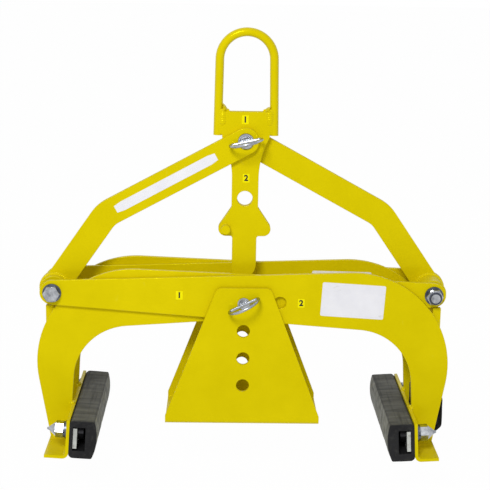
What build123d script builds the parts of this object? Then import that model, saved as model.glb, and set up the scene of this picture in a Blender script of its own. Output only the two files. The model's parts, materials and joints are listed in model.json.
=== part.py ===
"""Block laying tongs: two arms cross on a centre pin and close on a block as the top pin is lifted.

Millimetres, +Z up, +X to the right and -Y to the front. The origin is on the floor, midway between the jaws.
The two arms, links and jaws are one set of pieces used twice: the second set is turned half a turn about Z.
"""

import math
import os

from build123d import *

os.makedirs("parts", exist_ok=True)

# Linkage
pin_height = 194.2  # centre pin above the floor
bolt_reach = 246.6  # pivot bolt beside the centre pin
bolt_rise = 10.3  # pivot bolt above the centre pin
top_rise = 205.0  # top pin above the centre pin

# Plates in depth, from the middle outwards
plate = 6.0  # arm plate thickness
inner_half = 30.0  # middle to the nearer arm plates
plate_gap = 1.0  # between an arm plate and the one it passes
soft_edge = 0.7  # rounding of cut plate edges
bar = 8.0  # link thickness
spine_half = 6.0  # half the spine's thickness
slip = 0.3  # free gap between faces that slide
running = 0.1  # radial gap of a pin in its hole
fixed_gap = 0.05  # gap between pieces that are welded or clamped

# Arm outline: a bar from the pivot bolt to a round shoulder above a round throat
arm_end_radius = 16.0
shoulder_x = 142.0
shoulder_drop = 85.7  # shoulder's centre below the centre pin
shoulder_radius = 126.3
shoulder_end = -9.9  # degrees, where the outer edge runs straight on
throat_radius = 74.65
throat_up = 87.1  # throat's centre up the jaw
second_hole_x = 46.9

# Pins and their pull rings
centre_pin_radius = 8.0
top_pin_radius = 10.0
centre_pin_front = -52.0
top_pin_front = -17.5
pin_end_bevel = 1.2
pin_end = 2.0  # pin's rear end past its collar
collar_height = 5.0
collar_lip = 5.0
top_washer_radius = 16.0
pull_ring_wire = 2.0
pull_ring_half = 20.7  # half the width of the D, to the wire's middle
pull_ring_corner = 4.0
centre_ring_tilt = 26.3  # degrees, right side up
top_ring_tilt = 12.8

# Links
link_width = 34.0
knee_x = 179.2
knee_rise = 107.5  # knee above the centre pin
knee_radius = 41.0
link_eye_radius = 20.0  # a link's round end, about its tube
link_tube_radius = 17.5
link_tube_bore = 9.0
link_tube_gap = 2.5  # tube's end to the arm plate

# Spine, heights above the centre pin
head_top = 241.8
head_foot = 209.3
head_corner_radius = 2.0
waist_corner_radius = 2.0
waist_half = 17.2
waist_top = 155.3
waist_foot = 117.3
barb_tip_x = 42.3
barb_foot = 79.6
barb_tip_radius = 9.6
tail_half = 15.8
tail_inner_radius = 3.0
tail_corner_radius = 24.0
tail_gap = 6.3  # tail to the spacer tube
second_top_hole = 129.2
stop_x = 24.4
stop_rise = 89.8
stop_radius = 6.0
stop_length = 12.0

# Lifting ring
ring_bar = 5.5  # bar radius
ring_bend = 34.6  # bend radius at the bar's middle
ring_centre = 307.9  # above the centre pin
ring_foot = 211.3
ring_splay = 1.0  # degrees

# Jaws, in directions out from the block and up the pad
pad_edge_x = 192.8  # pad's lower inner edge from the middle
jaw_tilt = 3.5  # degrees, top towards the block
jaw_half_length = 99.5
pad_half_length = 100.0
pad_back = 29.6
pad_height = 50.5
pad_crown = 5.9  # how far the grip face swells
pad_crown_up = 29.0
pad_top_in = 2.1
pad_bevel = 3.5  # at the back corners
slot_in = 9.0
slot_back = 24.8
slot_low = 10.0
slot_high = 41.5
strip_depth = 5.0
strip_low = 12.5
strip_high = 39.5
strip_inset = 2.0
angle_sheet = 4.0
angle_low = -1.7
angle_top = 50.0
angle_out = 60.3
angle_bend = 4.0  # inside radius of the fold
arm_corner = 5.0

# Fasteners
bolt_radius = 6.0
bolt_hole_radius = 6.5
bolt_across_flats = 19.0
bolt_head = 7.5
washer_radius = 12.0
washer_height = 2.5
lock_nut = 8.0
lock_crown = 4.0
bolt_end = 2.0
cap_hex = 9.8
cap_cone = 8.7
cap_point_radius = 2.2
cap_tip = 2.5
cap_tip_radius = 1.4
pad_bolt_along = 82.0
pad_bolt_up = 31.6
spring_radius = 10.5  # spring washer under a cap nut
spring_height = 2.4
spring_split = 1.5

# Spacer tube and washers on the centre pin
spacer_radius = 12.5
press_washer_radius = 15.0

# Press plate
press_half = 100.9
press_base = 30.2
press_side_top = 40.7
press_top = 20.3  # above the centre pin
press_top_half = 34.5
press_corner = 9.0
press_inner = 45.0
press_sheet = 4.0
press_fold = 5.0
press_hole_radius = 8.5
press_hole_pitch = 36.8
press_free_holes = 3

# Arm tie plates and the bumper
tie_out = 256.5
tie_sheet = 10.0
tie_drop = 10.2  # centre pin down to the tie's top, under the other link's tube
tie_height = 36.5
tie_ear = 4.0  # step up in front of the tube, under the other arm's end
bumper_out = 265.5
bumper_low = 16.5
bumper_high = 74.0
bumper_depth = 42.0
bumper_round = 9.0

outer_near = inner_half + plate + plate_gap
outer_far = outer_near + plate
bolt_height = pin_height + bolt_rise
top_height = pin_height + top_rise
leg_out = pad_back + angle_sheet
flange_top = angle_low + angle_sheet
right, left = 1, -1


def face_plane(depth, side=right):
    """Upright plane at a depth, drawn as seen from the front, or the same half a turn round."""
    return Plane(origin=(0, side * depth, 0), x_dir=(side, 0, 0), z_dir=(0, -side, 0))


def axle_plane(x, depth, height, facing, side=right):
    """Plane across an axle along Y, facing the front (-1) or the rear (1), or half a turn round."""
    return Plane(
        origin=(side * x, side * depth, height),
        x_dir=(side, 0, 0),
        z_dir=(0, side * facing, 0),
    )


def jaw_plane(depth, side=right):
    """Upright plane whose first direction runs out from the block and whose second runs up the pad."""
    return Plane(
        origin=(side * pad_edge_x, side * depth, 0),
        x_dir=(side * math.cos(math.radians(jaw_tilt)), 0, math.sin(math.radians(jaw_tilt))),
        z_dir=(0, -side, 0),
    )


def jaw_point(out, up):
    """Place on the right jaw, as X and height."""
    lean = math.radians(jaw_tilt)
    x = pad_edge_x + out * math.cos(lean) - up * math.sin(lean)
    height = out * math.sin(lean) + up * math.cos(lean)
    return x, height


def pad_axle_plane(out, along, up, side):
    """Plane across a pad bolt, facing out from the block."""
    x, height = jaw_point(out, up)
    lean = math.radians(jaw_tilt)
    return Plane(
        origin=(side * x, side * along, height),
        x_dir=(0, 1, 0),
        z_dir=(side * math.cos(lean), 0, math.sin(lean)),
    )


def on_circle(centre, radius, angle):
    """Point of a circle at an angle in degrees."""
    x = centre[0] + radius * math.cos(math.radians(angle))
    y = centre[1] + radius * math.sin(math.radians(angle))
    return x, y


def arc_between(centre, radius, first, last):
    """Arc of a circle from one angle to another."""
    ThreePointArc(
        on_circle(centre, radius, first),
        on_circle(centre, radius, (first + last) / 2),
        on_circle(centre, radius, last),
    )


def tangent_direction(near, far, radius_gap):
    """Direction in degrees of a line that passes two circles whose radii add or differ by radius_gap."""
    run = far[0] - near[0]
    climb = far[1] - near[1]
    return math.degrees(math.atan2(climb, run) + math.asin(radius_gap / math.hypot(run, climb)))


def spin_plane(base):
    """Plane through a base plane's axis, for a profile of radius and height to be revolved."""
    return Plane(origin=base.origin, x_dir=base.x_dir, z_dir=base.x_dir.cross(base.z_dir))


def spin(base, points, mode=Mode.ADD):
    """Revolve a profile of (radius, height) points about a plane's axis."""
    with BuildSketch(spin_plane(base)) as profile:
        with BuildLine():
            Polyline(*points, close=True)
        make_face()
    revolve(profile.sketch, axis=Axis(base.origin, base.z_dir), mode=mode)


def hexagon(base, height):
    """Hexagonal block whose corners are turned off at its far end."""
    corner = bolt_across_flats / math.sqrt(3)
    turned = bolt_across_flats / 2
    bevel = (corner - turned) / math.sqrt(3)
    with BuildSketch(base) as outline:
        RegularPolygon(turned, 6, major_radius=False)
    extrude(outline.sketch, amount=height)
    blank = [(0, 0), (corner, 0), (corner, height - bevel), (turned, height), (0, height)]
    spin(base, blank, Mode.INTERSECT)


def disc(base, radius, height, bore=0):
    """Round block on a plane, with a bore if one is given."""
    with BuildSketch(base) as outline:
        Circle(radius)
        if bore:
            Circle(bore, mode=Mode.SUBTRACT)
    extrude(outline.sketch, amount=height)


def save(piece, name):
    """Label a finished piece and write it as its own file."""
    piece.part.label = name
    export_step(piece.part, f"parts/{name}.step")


# Arm plates
arm_bolt = (-bolt_reach, bolt_height)
shoulder = (shoulder_x, pin_height - shoulder_drop)
arm_leg_line = leg_out + fixed_gap
throat = jaw_point(arm_leg_line - throat_radius, throat_up)
top_run = tangent_direction(arm_bolt, shoulder, shoulder_radius - arm_end_radius)
under_run = tangent_direction(arm_bolt, throat, throat_radius + arm_end_radius)
arm_foot_up = flange_top + fixed_gap
outer_start = on_circle(shoulder, shoulder_radius, shoulder_end)
outer_lean = math.radians(jaw_tilt - shoulder_end)
outer_start_up = (outer_start[1] * math.cos(math.radians(jaw_tilt))
                  - (outer_start[0] - pad_edge_x) * math.sin(math.radians(jaw_tilt)))
outer_run = (outer_start_up - arm_foot_up) / math.cos(outer_lean)
outer_foot = on_circle(outer_start, outer_run, shoulder_end - 90)

arm_plates = [
    ("right_arm_front_plate", -outer_near, right),
    ("right_arm_rear_plate", inner_half + plate, right),
    ("left_arm_rear_plate", -outer_near, left),
    ("left_arm_front_plate", inner_half + plate, left),
]
for name, depth, side in arm_plates:
    with BuildPart() as arm_plate:
        with BuildSketch(face_plane(depth, side)):
            with BuildLine():
                arc_between(arm_bolt, arm_end_radius, under_run + 270, top_run + 90)
                Line(
                    on_circle(arm_bolt, arm_end_radius, top_run + 90),
                    on_circle(shoulder, shoulder_radius, top_run + 90),
                )
                arc_between(shoulder, shoulder_radius, top_run + 90, shoulder_end)
                Polyline(
                    outer_start,
                    outer_foot,
                    jaw_point(arm_leg_line + arm_corner, arm_foot_up),
                    jaw_point(arm_leg_line, arm_foot_up + arm_corner),
                    on_circle(throat, throat_radius, jaw_tilt),
                )
                arc_between(throat, throat_radius, jaw_tilt, under_run + 90)
                Line(
                    on_circle(throat, throat_radius, under_run + 90),
                    on_circle(arm_bolt, arm_end_radius, under_run - 90),
                )
            make_face()
            with Locations((0, pin_height), (second_hole_x, pin_height)):
                Circle(centre_pin_radius + running, mode=Mode.SUBTRACT)
            with Locations(arm_bolt):
                Circle(bolt_hole_radius, mode=Mode.SUBTRACT)
        extrude(amount=plate)
        fillet(arm_plate.faces().filter_by(Axis.Y).edges(), soft_edge)
    save(arm_plate, name)

# Pieces that both arms have: the arm's pivot bolt is on the side away from its jaw
for side, jaw_side, bolt_side in ((right, "right", "left"), (left, "left", "right")):
    head_face = -outer_far - washer_height
    nut_face = inner_half + plate + washer_height
    with BuildPart() as pivot_bolt:
        head_base = axle_plane(-bolt_reach, head_face - fixed_gap, bolt_height, -1, side)
        hexagon(head_base, bolt_head)
        disc(head_base, bolt_radius, head_face - nut_face - lock_nut - lock_crown - bolt_end)
    save(pivot_bolt, f"{bolt_side}_pivot_bolt")

    with BuildPart() as pivot_nut:
        nut_base = axle_plane(-bolt_reach, nut_face + fixed_gap, bolt_height, 1, side)
        hexagon(nut_base, lock_nut)
        crown_radius = bolt_across_flats / 2 - fixed_gap
        crown_round = lock_crown / 2
        crown = [
            (0, lock_nut),
            (crown_radius, lock_nut),
            (crown_radius, lock_nut + crown_round),
            (crown_radius - crown_round, lock_nut + lock_crown),
            (0, lock_nut + lock_crown),
        ]
        spin(nut_base, crown)
        with BuildSketch(nut_base):
            Circle(bolt_radius + fixed_gap)
        extrude(amount=lock_nut + lock_crown, mode=Mode.SUBTRACT)
    save(pivot_nut, f"{bolt_side}_pivot_nut")

    with BuildPart() as pivot_washers:
        spacer_length = outer_near - inner_half - 2 * fixed_gap
        rings = [
            (-outer_far - fixed_gap, -1, washer_height - fixed_gap),
            (-outer_near + fixed_gap, 1, spacer_length),
            (inner_half + plate + fixed_gap, 1, washer_height - fixed_gap),
        ]
        for depth, facing, height in rings:
            base = axle_plane(-bolt_reach, depth, bolt_height, facing, side)
            disc(base, washer_radius, height, bolt_radius + running)
    save(pivot_washers, f"{bolt_side}_pivot_washers")

    with BuildPart() as tie_plate:
        tie_top = pin_height - tie_drop
        with BuildSketch(face_plane(inner_half - fixed_gap, side)):
            with Locations((tie_out - tie_sheet / 2, tie_top - tie_height / 2)):
                Rectangle(tie_sheet, tie_height)
        extrude(amount=inner_half + outer_near - 2 * fixed_gap)
        with BuildSketch(face_plane(-inner_half - slip, side)):
            with Locations((tie_out - tie_sheet / 2, tie_top)):
                Rectangle(tie_sheet, 2 * tie_ear)
        extrude(amount=outer_near - inner_half - slip - fixed_gap)
        fillet(tie_plate.edges().filter_by(Axis.Y), soft_edge)
    save(tie_plate, f"{jaw_side}_arm_tie_plate")

    # Jaw angle: a folded bar whose leg backs the pad and whose flange points outwards
    with BuildPart() as jaw_angle:
        with BuildSketch(jaw_plane(jaw_half_length, side)):
            with BuildLine():
                Polyline(
                    (pad_back, angle_top),
                    (pad_back, angle_low),
                    (angle_out, angle_low),
                    (angle_out, flange_top),
                    (leg_out, flange_top),
                    (leg_out, angle_top),
                    close=True,
                )
            make_face()
        extrude(amount=2 * jaw_half_length)
        folds = [(pad_back, angle_low, angle_bend + angle_sheet), (leg_out, flange_top, angle_bend)]
        for out, up, radius in folds:
            x, height = jaw_point(out, up)
            long_edges = jaw_angle.edges().filter_by(Axis.Y)
            fillet(long_edges.sort_by_distance((side * x, 0, height))[0], radius)
        for along in (-pad_bolt_along, pad_bolt_along):
            with BuildSketch(pad_axle_plane(pad_back, along, pad_bolt_up, side)):
                Circle(bolt_hole_radius)
            extrude(amount=angle_sheet, mode=Mode.SUBTRACT)
    save(jaw_angle, f"{jaw_side}_jaw_angle")

    # Grip pad: rubber with a swollen grip face and a slot for its clamping strip
    with BuildPart() as grip_pad:
        with BuildSketch(jaw_plane(pad_half_length, side)):
            with BuildLine():
                ThreePointArc((0, 0), (-pad_crown, pad_crown_up), (-pad_top_in, pad_height))
                back_line = pad_back - fixed_gap
                Polyline(
                    (-pad_top_in, pad_height),
                    (back_line - pad_bevel, pad_height),
                    (back_line, pad_height - pad_bevel),
                    (back_line, pad_bevel),
                    (back_line - pad_bevel, 0),
                    (0, 0),
                )
            make_face()
            with Locations(((slot_in + slot_back) / 2, (slot_low + slot_high) / 2)):
                Rectangle(slot_back - slot_in, slot_high - slot_low, mode=Mode.SUBTRACT)
        extrude(amount=2 * pad_half_length)
        for along in (-pad_bolt_along, pad_bolt_along):
            with BuildSketch(pad_axle_plane(slot_back, along, pad_bolt_up, side)):
                Circle(bolt_hole_radius)
            extrude(amount=pad_back - slot_back, mode=Mode.SUBTRACT)
    save(grip_pad, f"{jaw_side}_grip_pad")

    strip_in = slot_back - strip_depth
    with BuildPart() as pad_strip:
        strip_half_length = pad_half_length - strip_inset
        with BuildSketch(jaw_plane(strip_half_length, side)):
            with Locations((slot_back - fixed_gap - strip_depth / 2, (strip_low + strip_high) / 2)):
                Rectangle(strip_depth, strip_high - strip_low)
        extrude(amount=2 * strip_half_length)
        for along in (-pad_bolt_along, pad_bolt_along):
            with BuildSketch(pad_axle_plane(strip_in - fixed_gap, along, pad_bolt_up, side)):
                Circle(bolt_hole_radius)
            extrude(amount=strip_depth, mode=Mode.SUBTRACT)
    save(pad_strip, f"{jaw_side}_pad_strip")

    spring_seat = leg_out + washer_height
    nut_seat = spring_seat + spring_height
    with BuildPart() as pad_bolts:
        for along in (-pad_bolt_along, pad_bolt_along):
            head_seat = pad_axle_plane(strip_in - 2 * fixed_gap, along, pad_bolt_up, side)
            with BuildSketch(head_seat):
                RegularPolygon(bolt_across_flats / 2, 6, major_radius=False)
            extrude(amount=-bolt_head)
            disc(head_seat, bolt_radius, nut_seat + cap_hex - strip_in)
    save(pad_bolts, f"{jaw_side}_pad_bolts")

    with BuildPart() as pad_washers:
        for along in (-pad_bolt_along, pad_bolt_along):
            flat_base = pad_axle_plane(leg_out + fixed_gap, along, pad_bolt_up, side)
            disc(flat_base, washer_radius, washer_height - fixed_gap, bolt_radius + running)
            with BuildSketch(pad_axle_plane(spring_seat + fixed_gap, along, pad_bolt_up, side)):
                Circle(spring_radius)
                Circle(bolt_radius + running, mode=Mode.SUBTRACT)
                with Locations((-spring_radius, 0)):
                    Rectangle(2 * (spring_radius - bolt_radius), spring_split, mode=Mode.SUBTRACT)
            extrude(amount=spring_height - fixed_gap)
    save(pad_washers, f"{jaw_side}_pad_washers")

    with BuildPart() as cap_nuts:
        for along in (-pad_bolt_along, pad_bolt_along):
            seat = pad_axle_plane(nut_seat + fixed_gap, along, pad_bolt_up, side)
            with BuildSketch(seat):
                RegularPolygon(bolt_across_flats / 2, 6, major_radius=False)
            extrude(amount=cap_hex)
            cone_foot = bolt_across_flats / 2 - fixed_gap
            cone = [
                (0, cap_hex),
                (cone_foot, cap_hex),
                (cap_point_radius, cap_hex + cap_cone),
                (cap_tip_radius, cap_hex + cap_cone + cap_tip),
                (0, cap_hex + cap_cone + cap_tip),
            ]
            spin(seat, cone)
            with BuildSketch(seat):
                Circle(bolt_radius + fixed_gap)
            extrude(amount=cap_hex, mode=Mode.SUBTRACT)
    save(cap_nuts, f"{jaw_side}_pad_cap_nuts")

    # Link: a flat bar with a knee, and a round eye about the tube that turns on the pivot bolt
    with BuildPart() as link:
        tube_place = (-bolt_reach, bolt_height)
        with BuildSketch(face_plane(-spine_half - slip - fixed_gap, side)):
            with BuildLine():
                middle = FilletPolyline(
                    (0, top_height),
                    (-knee_x, pin_height + knee_rise),
                    tube_place,
                    radius=knee_radius,
                )
                offset(middle, amount=link_width / 2, side=Side.BOTH, mode=Mode.REPLACE)
            make_face()
            with Locations((0, top_height)):
                Circle(top_pin_radius + running, mode=Mode.SUBTRACT)
            with Locations(tube_place):
                Circle(link_eye_radius)
                Circle(link_tube_radius + fixed_gap, mode=Mode.SUBTRACT)
        extrude(amount=bar)
        fillet(link.faces().filter_by(Axis.Y).edges(), soft_edge)
    save(link, f"{bolt_side}_link")

    with BuildPart() as link_tube:
        tube_half = inner_half - link_tube_gap
        tube_end = axle_plane(-bolt_reach, -tube_half, bolt_height, 1, side)
        disc(tube_end, link_tube_radius, 2 * tube_half, link_tube_bore)
        rims = link_tube.edges().filter_by(GeomType.CIRCLE)
        chamfer(rims, soft_edge)
    save(link_tube, f"{bolt_side}_link_tube")

# Bumper on the outside of the right jaw
with BuildPart() as bumper:
    with BuildSketch(face_plane(-outer_near + slip + bumper_depth)):
        with BuildLine():
            Polyline(
                (jaw_point(leg_out + slip, 0)[0], bumper_low),
                (bumper_out, bumper_low),
                (bumper_out, bumper_high),
                (jaw_point(leg_out + slip, 0)[0], bumper_high),
                close=True,
            )
        make_face()
    extrude(amount=bumper_depth)
    outer_edges = bumper.edges().filter_by(Axis.Y).group_by(Axis.X)[-1]
    fillet(outer_edges, bumper_round)
save(bumper, "right_jaw_bumper")

# Lifting ring
with BuildPart() as lifting_ring:
    bend_centre = (0, pin_height + ring_centre)
    leg_top = on_circle(bend_centre, ring_bend, ring_splay)
    leg_length = (leg_top[1] - pin_height - ring_foot) / math.cos(math.radians(ring_splay))
    leg_foot = on_circle(leg_top, leg_length, ring_splay - 90)
    with BuildLine(Plane.XZ) as ring_path:
        Line((-leg_foot[0], leg_foot[1]), (-leg_top[0], leg_top[1]))
        arc_between(bend_centre, ring_bend, 180 - ring_splay, ring_splay)
        Line(leg_top, leg_foot)
    with BuildSketch(Plane(origin=ring_path.line @ 0, z_dir=ring_path.line % 0)):
        Circle(ring_bar)
    sweep(path=ring_path.line)
save(lifting_ring, "lifting_ring")


def head_half(rise):
    """Half the head's width between the ring's legs at a height above the centre pin."""
    leg_middle = leg_top[0] + (leg_top[1] - pin_height - rise) * math.tan(math.radians(ring_splay))
    return leg_middle - (ring_bar + running) / math.cos(math.radians(ring_splay))


# Spine plate
tail_radius = top_rise - spacer_radius - tail_gap
tail_foot = top_rise - math.sqrt(tail_radius**2 - tail_half**2)
tail_angle = math.degrees(math.asin(tail_half / tail_radius))
neck_out = head_half(head_foot) - waist_half
neck_fall = head_foot - waist_top
neck_radius = (neck_out**2 + neck_fall**2) / (2 * neck_out)
neck_turn = math.degrees(math.asin(neck_fall / neck_radius))
with BuildPart() as spine_plate:
    with BuildSketch(face_plane(spine_half)):
        with BuildLine():
            Polyline(
                (0, pin_height + head_top),
                (head_half(head_top), pin_height + head_top),
                (head_half(head_foot), pin_height + head_foot),
            )
            neck_centre = (waist_half + neck_radius, pin_height + waist_top)
            arc_between(neck_centre, neck_radius, 180 - neck_turn, 180)
            Polyline(
                (waist_half, pin_height + waist_top),
                (waist_half, pin_height + waist_foot),
                (barb_tip_x, pin_height + barb_foot),
                (tail_half, pin_height + barb_foot),
                (tail_half, pin_height + tail_foot),
            )
            arc_between((0, top_height), tail_radius, 270 + tail_angle, 270)
            mirror(about=Plane.YZ)
        make_face()
        with Locations((0, top_height), (0, pin_height + second_top_hole)):
            Circle(top_pin_radius + running, mode=Mode.SUBTRACT)
    extrude(amount=2 * spine_half)
    for turn in (right, left):
        corners = [
            (turn * barb_tip_x, barb_foot, barb_tip_radius),
            (turn * tail_half, barb_foot, tail_inner_radius),
            (turn * waist_half, waist_foot, waist_corner_radius),
            (turn * head_half(head_foot), head_foot, head_corner_radius),
        ]
        for x, rise, radius in corners:
            across = spine_plate.edges().filter_by(Axis.Y)
            fillet(across.sort_by_distance((x, 0, pin_height + rise))[0], radius)
    across = spine_plate.edges().filter_by(Axis.Y)
    fillet(across.sort_by_distance((tail_half, 0, pin_height + tail_foot))[0], tail_corner_radius)
    fillet(spine_plate.faces().filter_by(Axis.Y).edges(), soft_edge)
save(spine_plate, "spine_plate")

# Stop pegs on the barbs, one in front and one behind
for side, name in ((right, "front_link_stop"), (left, "rear_link_stop")):
    with BuildPart() as link_stop:
        stop_base = axle_plane(-stop_x, -spine_half - fixed_gap, pin_height + stop_rise, -1, side)
        disc(stop_base, stop_radius, stop_length)
        chamfer(link_stop.faces().filter_by(Axis.Y).edges(), soft_edge)
    save(link_stop, name)

# Pins: a D-shaped pull ring is welded across the front end, and a collar holds the rear end
press_outer = press_inner + press_sheet
link_face = spine_half + slip + fixed_gap + bar
top_collar_depth = link_face + washer_height + 2 * slip
pins = [
    ("centre_pin", centre_pin_radius, pin_height, press_outer + slip, centre_pin_front, centre_ring_tilt),
    ("top_pin", top_pin_radius, top_height, top_collar_depth, top_pin_front, top_ring_tilt),
]
for name, radius, height, collar_depth, front_depth, tilt in pins:
    with BuildPart() as pin:
        pin_length = collar_depth + collar_height + pin_end - front_depth
        disc(axle_plane(0, front_depth, height, 1), radius, pin_length)
        chamfer(pin.edges().filter_by(GeomType.CIRCLE), pin_end_bevel)
    save(pin, name)

    with BuildPart() as collar:
        disc(axle_plane(0, collar_depth, height, 1), radius + collar_lip, collar_height, radius + fixed_gap)
        rims = collar.edges().filter_by(GeomType.CIRCLE).group_by(SortBy.RADIUS)[-1]
        chamfer(rims, soft_edge)
    save(collar, f"{name}_collar")

    with BuildPart() as pull_ring:
        cross = Vector(math.cos(math.radians(tilt)), 0, math.sin(math.radians(tilt)))
        across = Vector(-math.sin(math.radians(tilt)), 0, math.cos(math.radians(tilt)))
        ring_place = Vector(0, front_depth - fixed_gap - pull_ring_wire, height)
        corner_x = pull_ring_half - pull_ring_corner
        corner_places = ((corner_x, pull_ring_corner), (-corner_x, pull_ring_corner))
        with BuildLine(Plane(origin=ring_place, x_dir=cross, z_dir=-across)) as ring_path:
            Line((-corner_x, 0), (corner_x, 0))
            arc_between(corner_places[0], pull_ring_corner, -90, 0)
            arc_between((0, pull_ring_corner), pull_ring_half, 0, 180)
            arc_between(corner_places[1], pull_ring_corner, 180, 270)
        with BuildSketch(Plane(origin=ring_path.line @ 0, z_dir=ring_path.line % 0)):
            Circle(pull_ring_wire)
        sweep(path=ring_path.line)
    save(pull_ring, f"{name}_ring")

# Spacer tube between the inner arm plates, and washers beside the links and the press plate
with BuildPart() as top_washer:
    top_washer_base = axle_plane(0, link_face + slip, top_height, 1)
    disc(top_washer_base, top_washer_radius, washer_height, top_pin_radius + running)
save(top_washer, "top_pin_washer")

with BuildPart() as spacer_tube:
    spacer_half = inner_half - slip
    disc(axle_plane(0, -spacer_half, pin_height, 1), spacer_radius, 2 * spacer_half, centre_pin_radius + running)
    chamfer(spacer_tube.edges().filter_by(GeomType.CIRCLE), soft_edge)
save(spacer_tube, "centre_spacer_tube")

with BuildPart() as press_washers:
    for side in (right, left):
        washer_base = axle_plane(0, -outer_far - slip, pin_height, -1, side)
        washer_thickness = press_inner - outer_far - 2 * slip
        disc(washer_base, press_washer_radius, washer_thickness, centre_pin_radius + running)
save(press_washers, "press_plate_washers")

# Press plate: a folded channel whose walls taper up to the centre pin
with BuildPart() as press_plate:
    for depth in (-press_inner, press_outer):
        with BuildSketch(face_plane(depth)):
            with BuildLine():
                Polyline(
                    (0, press_base),
                    (press_half, press_base),
                    (press_half, press_side_top),
                    (press_top_half, pin_height + press_top),
                    (0, pin_height + press_top),
                )
                mirror(about=Plane.YZ)
            wall = make_face()
            fillet(wall.vertices().group_by(Axis.Y)[-1], press_corner)
            with Locations((0, pin_height)):
                Circle(centre_pin_radius + running, mode=Mode.SUBTRACT)
            for step in range(press_free_holes):
                with Locations((0, pin_height - (step + 1) * press_hole_pitch)):
                    Circle(press_hole_radius, mode=Mode.SUBTRACT)
        extrude(amount=press_sheet)
    with BuildSketch(Plane.XY.offset(press_base)):
        Rectangle(2 * press_half, 2 * press_outer)
    extrude(amount=press_sheet)
    folds = press_plate.edges().filter_by(Axis.X).group_by(Axis.Z)
    fillet(folds[0], press_fold)
    fillet(press_plate.edges().filter_by(Axis.X).group_by(Axis.Z)[1], press_fold - press_sheet)
save(press_plate, "press_plate")
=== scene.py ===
import json
import math

import bmesh
import bpy
import numpy as np
from mathutils import Matrix, Vector


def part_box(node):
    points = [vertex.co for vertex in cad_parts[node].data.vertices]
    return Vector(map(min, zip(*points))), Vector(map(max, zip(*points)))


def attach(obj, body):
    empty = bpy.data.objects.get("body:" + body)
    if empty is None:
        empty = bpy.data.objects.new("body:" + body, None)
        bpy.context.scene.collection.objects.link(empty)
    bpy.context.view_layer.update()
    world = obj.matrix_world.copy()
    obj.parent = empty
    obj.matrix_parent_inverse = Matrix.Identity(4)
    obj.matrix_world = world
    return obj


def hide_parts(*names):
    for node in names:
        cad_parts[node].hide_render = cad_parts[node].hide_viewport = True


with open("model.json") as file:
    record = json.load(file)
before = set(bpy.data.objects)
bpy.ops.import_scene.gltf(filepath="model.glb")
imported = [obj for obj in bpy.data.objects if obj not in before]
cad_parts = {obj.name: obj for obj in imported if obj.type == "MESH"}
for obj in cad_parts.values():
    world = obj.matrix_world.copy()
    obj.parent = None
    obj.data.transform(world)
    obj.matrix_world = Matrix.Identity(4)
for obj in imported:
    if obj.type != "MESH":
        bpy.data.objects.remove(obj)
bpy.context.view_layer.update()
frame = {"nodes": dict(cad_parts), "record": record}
nodes = frame["nodes"]
print("frame loaded:", len(nodes), "pieces")

mm = 0.001
mergeWithin = 1e-6  # metres
front, rear = -1, 1
right, left = 1, -1
sides = {"right": right, "left": left}
toRight, toRear, toTop = np.eye(3)
toFront = -toRear


# Faces of a grid of points, row after row: every row is a closed ring, and the last row may join the first
def gridFaces(rows, columns, closedRows):
    row, column = np.meshgrid(np.arange(rows if closedRows else rows - 1), np.arange(columns), indexing="ij")
    nextRow = (row + 1) % rows
    nextColumn = (column + 1) % columns
    corners = [row * columns + column, row * columns + nextColumn,
               nextRow * columns + nextColumn, nextRow * columns + column]
    return np.stack(corners, -1).reshape(-1, 4)


# A closed surface with its faces turned outwards: the volume summed over its quads comes out positive
def closedShell(points, closedRows=False):
    flat = points.reshape(-1, 3)
    faces = gridFaces(*points.shape[:2], closedRows)
    a, b, c, d = (flat[faces[:, corner]] - flat.mean(0) for corner in range(4))
    volume = np.sum(a * np.cross(b, c)) + np.sum(a * np.cross(c, d))
    return flat, faces if volume > 0 else faces[:, ::-1]


# Puts a mesh into the scene with its finish, riding on a body
def placePiece(name, mesh, body, material):
    mesh.materials.clear()
    mesh.materials.append(material)
    piece = bpy.data.objects.new(name, mesh)
    bpy.context.scene.collection.objects.link(piece)
    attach(piece, body)
    return piece


# One piece from one or more shells given in millimetres, with points that coincide merged
def addPiece(name, shells, body, material, sharpAngle=40.0, attributes=None):
    starts = np.cumsum([0] + [len(points) for points, faces in shells])
    points = np.concatenate([points for points, faces in shells]) * mm
    faces = np.concatenate([faces + start for (points, faces), start in zip(shells, starts)])
    mesh = bpy.data.meshes.new(name)
    mesh.from_pydata(points.tolist(), [], faces.tolist())
    for label, values in (attributes or {}).items():
        attribute = mesh.attributes.new(label, "FLOAT", "POINT")
        attribute.data.foreach_set("value", values.astype(np.float32).ravel())
    work = bmesh.new()
    work.from_mesh(mesh)
    bmesh.ops.remove_doubles(work, verts=work.verts, dist=mergeWithin)
    work.to_mesh(mesh)
    work.free()
    mesh.polygons.foreach_set("use_smooth", np.ones(len(mesh.polygons), bool))
    mesh.set_sharp_from_angle(angle=math.radians(sharpAngle))
    return placePiece(name, mesh, body, material)


# A shader node group with named inputs and outputs
def newGroup(name, inputs, outputs):
    group = bpy.data.node_groups.new(name, "ShaderNodeTree")
    for label, kind, value in inputs:
        group.interface.new_socket(label, in_out="INPUT", socket_type=kind).default_value = value
    for label, kind in outputs:
        group.interface.new_socket(label, in_out="OUTPUT", socket_type=kind)
    return group, group.nodes.new("NodeGroupInput"), group.nodes.new("NodeGroupOutput")


# A node with its settings, and with values on its sockets
def addNode(tree, kind, settings=None, values=None):
    node = tree.nodes.new(kind)
    for label, value in (settings or {}).items():
        setattr(node, label, value)
    for label, value in (values or {}).items():
        node.inputs[label].default_value = value
    return node


# A group placed in a material with its own values
def useGroup(tree, group, values):
    return addNode(tree, "ShaderNodeGroup", {"node_tree": group}, values)


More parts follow.
